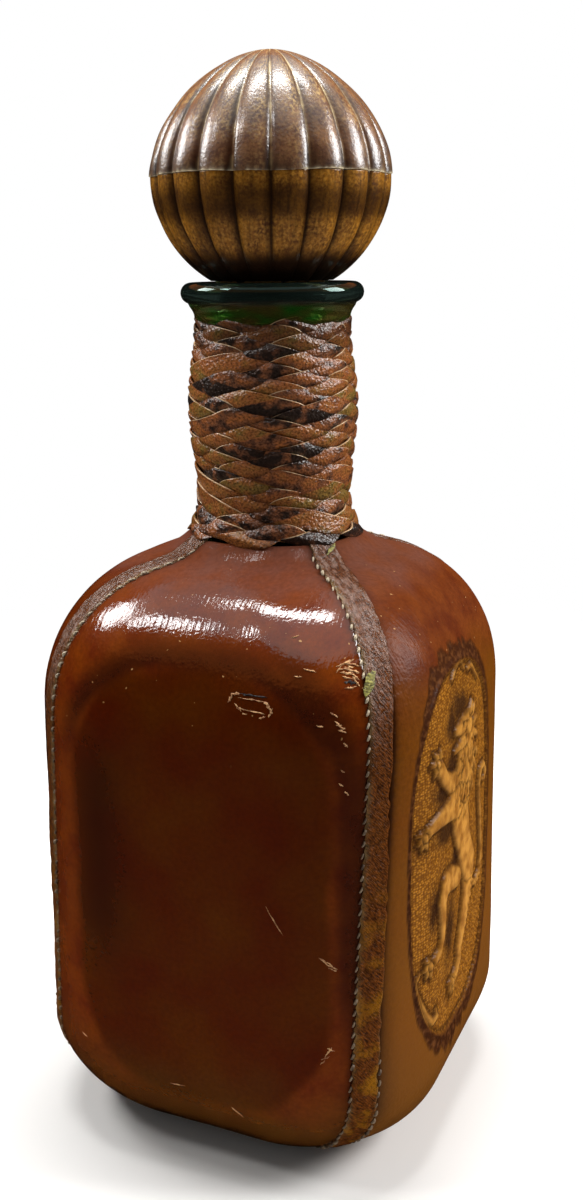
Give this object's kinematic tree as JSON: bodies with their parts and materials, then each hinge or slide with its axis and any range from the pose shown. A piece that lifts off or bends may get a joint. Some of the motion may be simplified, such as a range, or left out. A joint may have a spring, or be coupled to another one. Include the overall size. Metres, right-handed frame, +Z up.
{
  "type": "leather-wrapped decanter",
  "caption": "Square glass decanter in a sewn leather cover with an oval lion relief, interlaced leather strips round its neck and a lift-out ribbed leather ball stopper on a cork.",
  "frame": {"origin": "on the surface it stands on, under the middle of the base", "axes": "+Z up the bottle's axis towards the stopper, -Y out of the front panel, +X out of the panel with the oval"},
  "size_m": [0.1, 0.1, 0.2549],
  "materials": {
    "bottle_glass": "dark green bottle glass",
    "cover_leather": "glossy cognac brown grain leather, burnished and worn",
    "strip_leather": "rough dark brown mottled split leather",
    "neck_leather": "rust brown cut leather strip",
    "ball_leather": "polished amber brown leather, ribbed",
    "waxed_thread": "waxed linen thread",
    "cork": "natural cork",
    "turned_wood": "plain turned wood"
  },
  "bodies": {
    "bottle": {"glass_bottle": "bottle_glass", "base_patch": "cover_leather", "front_panel": "cover_leather", "right_panel": "cover_leather", "back_panel": "cover_leather", "left_panel": "cover_leather", "corner_strip_front_right": "strip_leather", "corner_strip_back_right": "strip_leather", "corner_strip_back_left": "strip_leather", "corner_strip_front_left": "strip_leather", "seam_thread_front_right_1": "waxed_thread", "seam_thread_front_right_2": "waxed_thread", "seam_thread_back_right_1": "waxed_thread", "seam_thread_back_right_2": "waxed_thread", "seam_thread_back_left_1": "waxed_thread", "seam_thread_back_left_2": "waxed_thread", "seam_thread_front_left_1": "waxed_thread", "seam_thread_front_left_2": "waxed_thread", "neck_strip_rising_1": "neck_leather", "neck_strip_falling_1": "neck_leather", "neck_strip_rising_2": "neck_leather", "neck_strip_falling_2": "neck_leather", "neck_strip_rising_3": "neck_leather", "neck_strip_falling_3": "neck_leather", "neck_strip_rising_4": "neck_leather", "neck_strip_falling_4": "neck_leather", "neck_strip_rising_5": "neck_leather", "neck_strip_falling_5": "neck_leather", "neck_strip_rising_6": "neck_leather", "neck_strip_falling_6": "neck_leather", "neck_strip_rising_7": "neck_leather", "neck_strip_falling_7": "neck_leather", "neck_strip_rising_8": "neck_leather", "neck_strip_falling_8": "neck_leather"},
    "stopper": {"stopper_upper_cover": "ball_leather", "stopper_lower_cover": "ball_leather", "stopper_core": "turned_wood", "stopper_cork": "cork", "stopper_dowel": "turned_wood"}
  },
  "joints": [
    {"name": "stopper_lift", "type": "slide", "parent": "bottle", "child": "stopper", "axis": [0, 0, 1], "range_m": [0, 0.06]}
  ]
}
